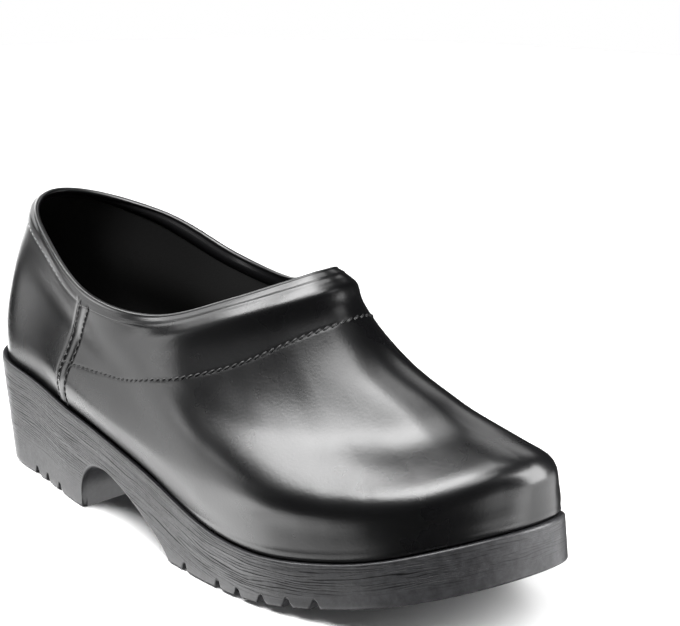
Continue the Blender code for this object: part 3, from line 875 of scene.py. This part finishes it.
def make_upper(upper, leather, lining):
    """Outer leather down into the sole's tray, lining up again: one closed wall."""
    drop = np.array([0, 0, TRAY_DEPTH - GAP])
    rings = np.concatenate([upper.skin[:1] - drop, upper.outside,
                            upper.inside, upper.inside[-1:] - drop])
    count = len(upper.theta)
    piece = mesh_piece("leather_upper", rings.reshape(-1, 3), loft_faces(len(rings), count, closed=True),
                       [leather, lining])
    inner = np.arange(len(rings)) >= len(upper.outside)
    piece.data.polygons.foreach_set("material_index", np.repeat(inner, count).astype(np.int32))
    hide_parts("upper")


def fold_profile(half, bead):
    """The strip's fold from outer to inner leg: how far out and how far up each point is."""
    top = BINDING_GAP + BINDING_HEIGHT
    foot = np.full(len(half), BINDING_GAP)
    neck = top - BEAD_NECK * bead
    turns = np.radians(np.linspace(*BEAD_ARC, BEAD_POINTS))
    round_edge = [(bead * math.cos(turn), top + bead * (math.sin(turn) - 1)) for turn in turns]
    return [(half * FOLD_START, foot), (bead * BEAD_WAIST, neck), *round_edge,
            (-bead * BEAD_WAIST, neck), (-half * FOLD_START, foot)]


def make_binding(upper, leather):
    """A strip folded over the collar: outer leg, round bead, inner leg."""
    out_edge, in_edge = upper.skin[-1], upper.inside[0]
    across = unit(out_edge - in_edge)
    upward = out_edge - upper.skin[-2]
    upward = unit(upward - (upward * across).sum(axis=1)[:, None] * across)
    leg, thick, bead, lean = [binding_value(upper.theta, name)
                              for name in ("width", "thick", "bead", "lean")]
    rings = [upper.surface_below(leg, np.full(len(leg), -STRIP_SINK))]
    rings += [upper.surface_below(leg * share, thick * lift) for share, lift in OUTER_LEG]
    middle = (out_edge + in_edge) / 2
    half = np.linalg.norm(out_edge - in_edge, axis=1) / 2 + thick
    for out, rise in fold_profile(half, bead):
        out = out - lean * (rise - BINDING_GAP) / BINDING_HEIGHT
        rings.append(middle + across * out[:, None] + upward * rise[:, None])
    rings.append(in_edge - across * thick[:, None] - upward * INNER_LEG)
    rings.append(in_edge + across * STRIP_SINK - upward * INNER_LEG)
    faces = loft_faces(len(rings), len(leg), closed=True)
    piece = mesh_piece("collar_strip", np.concatenate(rings), faces, [leather])
    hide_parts("collar_binding")


def stitch_places(path, outward, slant):
    """Places a stitch apart on a path, the way each stitch runs and the way it crowns."""
    spot = np.concatenate([[0], np.cumsum(np.linalg.norm(np.diff(path, axis=0), axis=1))])
    marks = np.arange(STITCH_PITCH / 2, spot[-1] - STITCH_PITCH / 2, STITCH_PITCH)

    def at(values, where):
        return np.stack([np.interp(where, spot, values[:, axis]) for axis in range(3)], axis=1)

    out = unit(at(outward, marks))
    run = unit(at(path, marks + STITCH_AIM) - at(path, marks - STITCH_AIM))
    run = math.cos(slant) * run + math.sin(slant) * np.cross(out, run)
    return at(path, marks), run, out


def stitch_nodes():
    """Geometry nodes: one arched strand of thread on every place."""
    tree = bpy.data.node_groups.new("sewn_stitches", "GeometryNodeTree")
    for name, kind in (("Places", "Geometry"), ("Length", "Float"), ("Crown", "Float"),
                       ("Thread", "Float"), ("Finish", "Material")):
        tree.interface.new_socket(name, in_out="INPUT", socket_type="NodeSocket" + kind)
    tree.interface.new_socket("Stitches", in_out="OUTPUT", socket_type="NodeSocketGeometry")
    given = add_node(tree, "NodeGroupInput").outputs
    # An arc rises half as high as its middle point
    ahead, behind, sunk, peak, radius = [
        add_node(tree, "ShaderNodeMath", {0: given[name], 1: factor}, operation="MULTIPLY")
        for name, factor in (("Length", 0.5), ("Length", -0.5), ("Thread", -0.5), ("Crown", 2.0),
                             ("Thread", 0.5))]
    start = add_node(tree, "ShaderNodeCombineXYZ", {"X": behind, "Z": sunk})
    middle = add_node(tree, "ShaderNodeCombineXYZ", {"Z": peak})
    end = add_node(tree, "ShaderNodeCombineXYZ", {"X": ahead, "Z": sunk})
    arc = add_node(tree, "GeometryNodeCurveQuadraticBezier", {
        "Resolution": ARC_STEPS, "Start": start, "Middle": middle, "End": end})
    ring = add_node(tree, "GeometryNodeCurvePrimitiveCircle", {
        "Resolution": THREAD_SIDES, "Radius": radius})
    strand = add_node(tree, "GeometryNodeCurveToMesh", {"Curve": arc, "Profile Curve": ring})
    run, out = [
        add_node(tree, "GeometryNodeInputNamedAttribute", {"Name": name}, data_type="FLOAT_VECTOR")
        for name in ("stitch_run", "stitch_out")]
    turn = add_node(tree, "FunctionNodeAxesToRotation", {
        "Primary Axis": run.outputs["Attribute"], "Secondary Axis": out.outputs["Attribute"]},
        primary_axis="X", secondary_axis="Z")
    laid = add_node(tree, "GeometryNodeInstanceOnPoints", {
        "Points": given["Places"], "Instance": strand, "Rotation": turn})
    real = add_node(tree, "GeometryNodeRealizeInstances", {"Geometry": laid})
    dressed = add_node(tree, "GeometryNodeSetMaterial", {"Geometry": real, "Material": given["Finish"]})
    add_node(tree, "NodeGroupOutput", {"Stitches": dressed})
    return tree


def make_stitches(upper, thread):
    """Rows of stitches: two up each lap seam, one round the vamp, one along the counter."""
    rows = [stitch_places(*upper.seam_row(side, distance), 0)
            for side in (1, -1) for distance in SEAM_ROWS]
    rows.append(stitch_places(*upper.yoke_row(), SLANT))
    rows.append(stitch_places(*upper.counter_row(), 0))
    point, run, out = [np.concatenate(values) for values in zip(*rows)]
    mesh = bpy.data.meshes.new("stitch_places")
    mesh.from_pydata(place(point).tolist(), [], [])
    for name, values in (("stitch_run", run), ("stitch_out", out)):
        layer = mesh.attributes.new(name, "FLOAT_VECTOR", "POINT")
        layer.data.foreach_set("vector", values.astype(np.float32).ravel())
    places = add_object("stitch_places", mesh)
    sewing = places.modifiers.new("sewing", "NODES")
    sewing.node_group = stitch_nodes()
    values = {"Length": STITCH_LENGTH * MM, "Crown": STITCH_RISE * MM, "Thread": THREAD * MM,
              "Finish": thread}
    for socket in sewing.node_group.interface.items_tree:
        if socket.name in values:
            sewing[socket.identifier] = values[socket.name]
    sewn = bpy.data.meshes.new_from_object(places.evaluated_get(bpy.context.evaluated_depsgraph_get()))
    sewn.name = "upper_stitches"
    bpy.data.objects.remove(places)
    add_piece(sewn)


def half_width_at(along, side):
    """Sideways place of the sole's edge: side is -1 lateral or +1 medial."""
    theta = -side * np.arccos(1 - 2 * np.clip(along, 0, LENGTH) / LENGTH)
    return sole_plan(theta)[1]


def centre_at(along):
    return (half_width_at(along, -1) + half_width_at(along, 1)) / 2


def lug_grooves():
    """Zigzags beside the middle lugs, notches from them to the edge and chevrons between them."""
    grooves = []
    for side in (-1, 1):
        zigzag = [(s, centre_at(s) + side * (LUG_COLUMN + LUG_ZIGZAG * (-1) ** k))
                  for k, s in enumerate((LUG_BACK, *EDGE_NOTCHES, LUG_FRONT))]
        grooves.append((zigzag, GROOVE_WIDTH, GROOVE_DEPTH))
        for s in EDGE_NOTCHES:
            inner, edge = centre_at(s) + side * LUG_COLUMN, half_width_at(s, side)
            notch = [(s + CHEVRON_LEAN, inner), (s + CHEVRON_LEAN / 3, (inner + edge) / 2),
                     (s, edge + side * CUT_PAST)]
            grooves.append((notch, NOTCH_WIDTH, GROOVE_DEPTH))
    reach = LUG_COLUMN - LUG_ZIGZAG - GROOVE_WIDTH
    for s in MIDDLE_GROOVES:
        centre = centre_at(s)
        chevron = [(s, centre - reach), (s + CHEVRON_LEAN / 2, centre), (s, centre + reach)]
        grooves.append((chevron, NOTCH_WIDTH, GROOVE_DEPTH))
    return grooves


def toe_grooves():
    """Straight grooves between the ribs of the toe."""
    return [([(s, half_width_at(s, side) - side * TREAD_BORDER) for side in (-1, 1)],
             RIB_GROOVE, RIB_DEPTH) for s in np.arange(RIBS_BACK, RIBS_FRONT, RIB_PITCH)]


def heel_grooves():
    """A ring round the heel pad, rays from it to the edge and a bar behind it."""
    turn = np.linspace(0, 2 * math.pi, PAD_POINTS)
    ring = np.stack([HEEL_PAD_CENTRE + (HEEL_PAD_LENGTH + GROOVE_WIDTH / 2) * np.cos(turn),
                     (HEEL_PAD_WIDTH + GROOVE_WIDTH / 2) * np.sin(turn)], axis=1)
    grooves = [(ring, GROOVE_WIDTH, GROOVE_DEPTH)]
    for side in (-1, 1):
        for s in HEEL_NOTCHES:
            toward = np.array([(s - HEEL_PAD_CENTRE) * RAY_LEAN, side * HEEL_PAD_WIDTH])
            toward /= math.hypot(toward[0] / HEEL_PAD_LENGTH, toward[1] / HEEL_PAD_WIDTH)
            ray = [(HEEL_PAD_CENTRE + toward[0], toward[1]),
                   (s, half_width_at(s, side) + side * CUT_PAST)]
            grooves.append((ray, NOTCH_WIDTH, GROOVE_DEPTH))
    reach = half_width_at(HEEL_CROSS, 1) - CROSS_BORDER
    grooves.append(([(HEEL_CROSS, -reach), (HEEL_CROSS, reach)], NOTCH_WIDTH, GROOVE_DEPTH))
    return grooves


def path_distance(along, across, path):
    """Distance in plan to a path of (along, across) points."""
    path = np.array(path, float)
    nearest = np.full(np.shape(along), np.inf)
    for start, end in zip(path[:-1], path[1:]):
        run = end - start
        u = ((along - start[0]) * run[0] + (across - start[1]) * run[1]) / (run @ run)
        u = np.clip(u, 0, 1)
        gap = np.hypot(along - start[0] - u * run[0], across - start[1] - u * run[1])
        nearest = np.minimum(nearest, gap)
    return nearest


def tread(along, across):
    """Depth of the tread's grooves above its running surface."""
    within = np.minimum(np.minimum(along - SHANK_BACK, SHANK_FRONT - along),
                        SHANK_HALF - np.abs(across - centre_at(along)))
    depth = SHANK_DEPTH * ease(0, GROOVE_WALL, within)
    for path, width, deep in lug_grooves() + toe_grooves() + heel_grooves():
        edges = (width - GROOVE_WALL) / 2, (width + GROOVE_WALL) / 2
        depth = np.maximum(depth, deep * (1 - ease(*edges, path_distance(along, across, path))))
    return depth


def stipple(along, across):
    """1 on the lugs that are stippled, 0 on the heel pad, the shank and the ribs."""
    pad = np.hypot((along - HEEL_PAD_CENTRE) / HEEL_PAD_LENGTH, across / HEEL_PAD_WIDTH)
    lugs = (ease(LUG_BACK - STIPPLE_FADE, LUG_BACK, along)
            * (1 - ease(LUG_FRONT, LUG_FRONT + STIPPLE_FADE, along)))
    heel = (1 - ease(ARCH_BACK - STIPPLE_FADE, ARCH_BACK, along)) * ease(*STIPPLE_PAD, pad)
    return lugs + heel


def line_noise(turn, down, cell_height, cells, seed):
    """Smooth noise about zero on a lattice of random values, with cells to one turn round the shoe."""
    lattice = np.random.default_rng(seed).random((cells, NOISE_ROWS))
    u, v = turn * cells, down / cell_height
    i, j = np.floor(u).astype(int), np.floor(v).astype(int)
    a, b = ease(0, 1, u - i), ease(0, 1, v - j)
    low, high = [lattice[i % cells, (j + q) % NOISE_ROWS] * (1 - a)
                 + lattice[(i + 1) % cells, (j + q) % NOISE_ROWS] * a for q in (0, 1)]
    return low * (1 - b) + high * b - 0.5


def sole_stations():
    """Theta round the sole, close together at the heel breast."""
    back, front = BREAST_SPAN
    breast = np.linspace(ARCH_BACK + back, ARCH_BACK + front, BREAST_STATIONS)
    even = np.linspace(0, math.pi, SOLE_STATIONS)
    return both_sides(np.sort(np.concatenate([even, np.arccos(1 - 2 * breast / LENGTH)])))


class SoleSide:
    """Rings of the sole's side, from the tread's edge up to the lip and into the tray."""

    def __init__(self):
        self.theta = sole_stations()
        self.lip = top_edge(self.theta)
        self.undercut = UNDERCUT.at(share_of(self.theta), "inset")
        along, across = sole_edge(self.theta, self.undercut + BOTTOM_ROUND)
        self.spring = toe_spring(along)
        self.floor = underside(along)
        self.notched = self.floor + tread(along, across)
        self.rings, self.downs, self.amounts = [], [], []
        self.add_bottom()
        self.add_side()
        self.add_lip()

    def add_ring(self, inset, height, amount=0.0):
        """A ring, how far it is below the lip and how much of the lines shows there."""
        self.rings.append(point_rows(self.theta, inset, height))
        self.downs.append(self.lip - height)
        self.amounts.append(amount + 0 * self.lip)

    def fall(self, height):
        """Share of the way down from the lip to the running surface."""
        return (self.lip - height) / (self.lip - self.spring)

    def add_bottom(self):
        """The tread's rounded edge, cut by its notches."""
        for turn in np.linspace(0, math.pi / 2, BOTTOM_STEPS):
            height = self.notched + BOTTOM_ROUND * (1 - math.cos(turn))
            inset = self.undercut * self.fall(height) + BOTTOM_ROUND * (1 - math.sin(turn))
            self.add_ring(inset, height)

    def add_side(self):
        """The side with its lines in low relief."""
        plan = np.stack(sole_plan(self.theta), axis=-1)
        run = np.cumsum(np.linalg.norm(plan - np.roll(plan, 1, axis=0), axis=1))
        turn = run / run[-1]
        at_toe = 1 - GRAIN_LOSS * ease(*GRAIN_END, share_of(self.theta))
        low = self.floor + BOTTOM_ROUND
        high = self.lip - LIP_ROUND
        for share in np.linspace(0, 1, SIDE_ROWS)[1:]:
            over_notch = self.notched + BOTTOM_ROUND + NOTCH_RISE * share
            height = np.maximum(low + (high - low) * share, over_notch)
            down, fall = self.lip - height, self.fall(height)
            wander = START_WANDER * line_noise(turn, down, *START_NOISE)
            amount = ease(*GRAIN_START, 1 - fall + wander) * at_toe
            lines = line_noise(turn, down, *COARSE_LINES)
            lines += FINE_SHARE * line_noise(turn, down, *FINE_LINES)
            relief = GRAIN_RELIEF * lines * amount * ease(0, GRAIN_RIM, 1 - share)
            self.add_ring(self.undercut * fall - relief, height, amount)

    def add_lip(self):
        """The lip's rounding, its slope down to the leather and the wall of the tray."""
        for turn in np.linspace(0, math.pi / 2, LIP_STEPS)[1:]:
            self.add_ring(LIP_ROUND * (1 - math.cos(turn)), self.lip - LIP_ROUND * (1 - math.sin(turn)))
        drop = LIP_FALL.at(share_of(self.theta), "drop")
        self.add_ring(LIP_WIDTH * LIP_BOW[0], self.lip - drop * LIP_BOW[1])
        self.add_ring(LIP_WIDTH, self.lip - drop)
        self.add_ring(LIP_WIDTH, self.lip - TRAY_DEPTH)


def tread_grid(edge):
    """Points of the tread in rows from its lateral to its medial edge."""
    half = len(edge) // 2
    lateral, medial = edge[1:half], edge[:half:-1]
    shares = np.linspace(0, 1, TREAD_COLUMNS + 1)[1:-1]
    grid = lateral[:, None] + (medial - lateral)[:, None] * shares[None, :, None]
    grid[..., 2] = underside(grid[..., 0]) + tread(grid[..., 0], grid[..., 1])
    return grid


def tread_faces(count, start, columns):
    """Quads of the tread's grid, whose points follow those of the rings, and fans at heel and toe."""
    half = count // 2
    inner = start + np.arange((half - 1) * columns).reshape(-1, columns)
    number = np.concatenate([np.arange(1, half)[:, None], inner,
                             np.arange(count - 1, half, -1)[:, None]], axis=1)
    quads = np.stack([number[:-1, :-1], number[:-1, 1:], number[1:, 1:], number[1:, :-1]], axis=-1)
    faces = quads.reshape(-1, 4).tolist()
    for tip, row in ((0, number[0]), (half, number[-1][::-1])):
        faces += [[tip, int(b), int(a)] for a, b in zip(row[:-1], row[1:])]
    return faces


def make_sole(polyurethane):
    """The moulded unit: tread, side with its wood-like lines, lip and tray, as one closed mesh."""
    side = SoleSide()
    count = len(side.theta)
    outer = np.concatenate(side.rings)
    grid = tread_grid(side.rings[0])
    points = np.concatenate([outer, grid.reshape(-1, 3)])
    faces = loft_faces(len(side.rings), count, closed=False)
    faces += ladder_faces(len(outer) - count, count)
    faces += tread_faces(count, len(outer), grid.shape[1])
    piece = mesh_piece("moulded_sole", points, faces, [polyurethane])
    piece.data.set_sharp_from_angle(angle=SHARP_ANGLE)
    bare = np.zeros(len(points) - len(outer))
    fields = {"grain_down": [*side.downs, bare], "grain_amount": [*side.amounts, bare],
              "tread_stipple": [np.zeros(len(outer)), stipple(grid[..., 0], grid[..., 1]).ravel()]}
    for name, values in fields.items():
        layer = piece.data.attributes.new(name, "FLOAT", "POINT")
        layer.data.foreach_set("value", np.concatenate(values).astype(np.float32))
    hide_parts("sole")


def make_insole(cloth):
    """A soft sheet in the tray, hollowed a little under the heel."""
    theta = both_sides(np.linspace(0, math.pi, INSOLE_STATIONS))
    count = len(theta)
    floor = top_edge(theta) - TRAY_DEPTH + GAP
    inset = LIP_WIDTH + GAP + WALL + INSOLE_MARGIN
    rings = [point_rows(theta, inset, floor)]
    for turn in np.linspace(0, math.pi / 2, INSOLE_STEPS):
        rings.append(point_rows(theta, inset + INSOLE_ROUND * (1 - math.cos(turn)),
                                floor + INSOLE_THICKNESS - INSOLE_ROUND * (1 - math.sin(turn))))
    edge = rings[-1]
    middle = edge.copy()
    middle[:, 1] = (edge[:, 1] + edge[-np.arange(count) % count, 1]) / 2
    depth, heel, width = HEEL_HOLLOW
    for share in INSOLE_SHARES:
        ring = middle + (edge - middle) * share
        ring[:, 2] -= depth * (1 - share ** 2) * bell(edge[:, 0], heel, width)
        rings.append(ring)
    faces = loft_faces(len(rings), count, closed=False)
    faces += [face[::-1] for face in ladder_faces(0, count)]
    faces += ladder_faces((len(rings) - 1) * count, count)
    piece = mesh_piece("soft_insole", np.concatenate(rings), faces, [cloth])
    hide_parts("insole")


def make_camera():
    """The photograph's angle on the shoe."""
    sin_a, cos_a = math.sin(CAMERA_AZIMUTH), math.cos(CAMERA_AZIMUTH)
    sin_e, cos_e = math.sin(CAMERA_ELEVATION), math.cos(CAMERA_ELEVATION)
    back = Vector((sin_a * cos_e, -cos_a * cos_e, sin_e))
    right = Vector((cos_a, sin_a, 0))
    up = back.cross(right)
    turned_right = right * math.cos(CAMERA_ROLL) + up * math.sin(CAMERA_ROLL)
    turned_up = up * math.cos(CAMERA_ROLL) - right * math.sin(CAMERA_ROLL)
    data = bpy.data.cameras.new("camera")
    data.sensor_fit = "HORIZONTAL"
    data.sensor_width = SENSOR
    data.lens = FOCAL_PIXELS * SENSOR / IMAGE_WIDTH
    axes = Matrix((turned_right, turned_up, back)).transposed().to_4x4()
    axes.translation = (Vector(CAMERA_TARGET) + back * CAMERA_DISTANCE) * MM
    camera = add_object("camera", data)
    camera.matrix_world = axes
    bpy.context.scene.camera = camera


def add_softbox(name, aim, azimuth, elevation, distance, width, height, radiance):
    """A soft rectangular light that faces a place on the shoe."""
    data = bpy.data.lights.new(name, "AREA")
    data.shape = "RECTANGLE"
    data.size = width
    data.size_y = height
    data.energy = radiance * math.pi * width * height
    a, e = math.radians(azimuth), math.radians(elevation)
    away = Vector((math.cos(a) * math.cos(e), math.sin(a) * math.cos(e), math.sin(e)))
    lamp = add_object(name, data)
    lamp.location = Vector(place((aim, 0, AIM_HEIGHT))) + away * distance
    lamp.rotation_euler = away.to_track_quat("Z", "Y").to_euler()
    lamp.visible_camera = False


def make_floor():
    """Matte pale paper under the shoe."""
    mesh = bpy.data.meshes.new("floor")
    corners = [(x * FLOOR_REACH, y * FLOOR_REACH, 0) for x, y in ((-1, -1), (1, -1), (1, 1), (-1, 1))]
    mesh.from_pydata(corners, [], [(0, 1, 2, 3)])
    paper, _ = new_material("pale_paper", {
        "Base Color": linear("#e7e7e7"), "Roughness": 0.9, "Specular IOR Level": 0.0})
    mesh.materials.append(paper)
    floor = add_object("floor", mesh)
    floor.visible_glossy = False
    floor.visible_shadow = False


def make_backdrop():
    """Paper that rises all round, far behind the lights; only the camera sees it."""
    turn = np.linspace(0, 2 * math.pi, SWEEP_SIDES, endpoint=False)
    rings = [np.stack([radius * np.cos(turn), radius * np.sin(turn), height + 0 * turn], axis=1)
             for radius, height in SWEEP]
    mesh = bpy.data.meshes.new("backdrop")
    faces = loft_faces(len(SWEEP), SWEEP_SIDES, closed=False)
    mesh.from_pydata(np.concatenate(rings).tolist(), [], faces)
    mesh.shade_smooth()
    paper, _ = new_material("bright_paper", {
        "Base Color": linear("#000000"), "Emission Color": linear("#ffffff"), "Emission Strength": 1.0,
        "Specular IOR Level": 0.0})
    mesh.materials.append(paper)
    backdrop = add_object("backdrop", mesh)
    for ray in ("diffuse", "glossy", "transmission", "shadow"):
        setattr(backdrop, "visible_" + ray, False)


def make_studio():
    """Paper floor and backdrop, softboxes round the shoe and a dim room."""
    make_floor()
    make_backdrop()
    for name, values in SOFTBOXES.items():
        add_softbox(name, *values)
    world = bpy.data.worlds.new("room")
    world.use_nodes = True
    world.node_tree.nodes["Background"].inputs["Color"].default_value = linear("#303030")
    bpy.context.scene.world = world
    bpy.context.scene.view_settings.view_transform = "Standard"


def main():
    lining = lining_cloth()
    upper = Upper()
    make_upper(upper, black_leather(), lining)
    make_binding(upper, binding_leather())
    make_stitches(upper, sewing_thread())
    make_sole(sole_polyurethane())
    make_insole(lining)
    make_camera()
    make_studio()


main()
